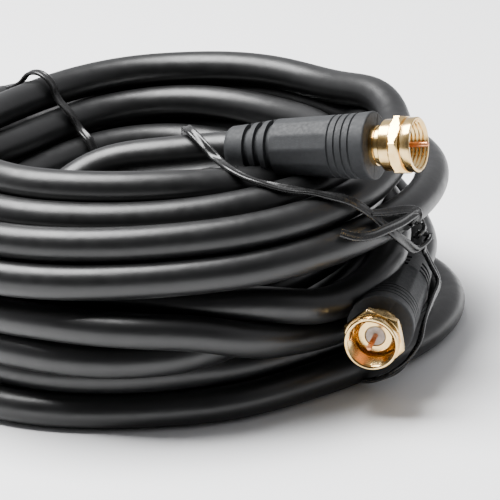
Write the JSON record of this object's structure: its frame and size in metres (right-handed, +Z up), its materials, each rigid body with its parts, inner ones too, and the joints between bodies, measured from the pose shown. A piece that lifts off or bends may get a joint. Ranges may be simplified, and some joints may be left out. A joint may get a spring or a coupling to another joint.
{
  "type": "coaxial cable coil",
  "caption": "Coil of black coaxial lead with moulded boots and gold screw-on plugs at its ends, held by black wire ties.",
  "frame": {"origin": "on the floor under the middle of the object's box, which is the coil's own axis", "axes": "+Z up along the coil's axis; -Y towards the side where the lower plug points; +X towards the upper plug"},
  "size_m": [0.1168, 0.1168, 0.0575],
  "materials": {
    "jacket": "satin black flexible vinyl",
    "boot": "fine-grained moulded black vinyl",
    "gold": "polished gold plating",
    "insulator": "milky polyethylene",
    "copper": "bare copper",
    "tie": "glossy black plastic over wire"
  },
  "bodies": {
    "coil": {"cable_coil": "jacket", "cable_lead_a": "jacket", "cable_lead_b": "jacket", "wire_tie_a": "tie", "wire_tie_b": "tie", "boot_a": "boot", "barrel_a": "gold", "post_a": "gold", "dielectric_a": "insulator", "centre_pin_a": "copper", "boot_b": "boot", "barrel_b": "gold", "post_b": "gold", "dielectric_b": "insulator", "centre_pin_b": "copper"},
    "nut_a": {"nut_a": "gold"},
    "nut_b": {"nut_b": "gold"}
  },
  "joints": [
    {"name": "nut_a_spin", "type": "hinge", "parent": "coil", "child": "nut_a", "pos_m": [0.0455, -0.0335, 0.0504], "axis": [0.9066, -0.4078, 0.108], "continuous": true},
    {"name": "nut_b_spin", "type": "hinge", "parent": "coil", "child": "nut_b", "pos_m": [0.0442, -0.0412, 0.0158], "axis": [-0.2589, -0.9655, 0.027], "continuous": true}
  ]
}
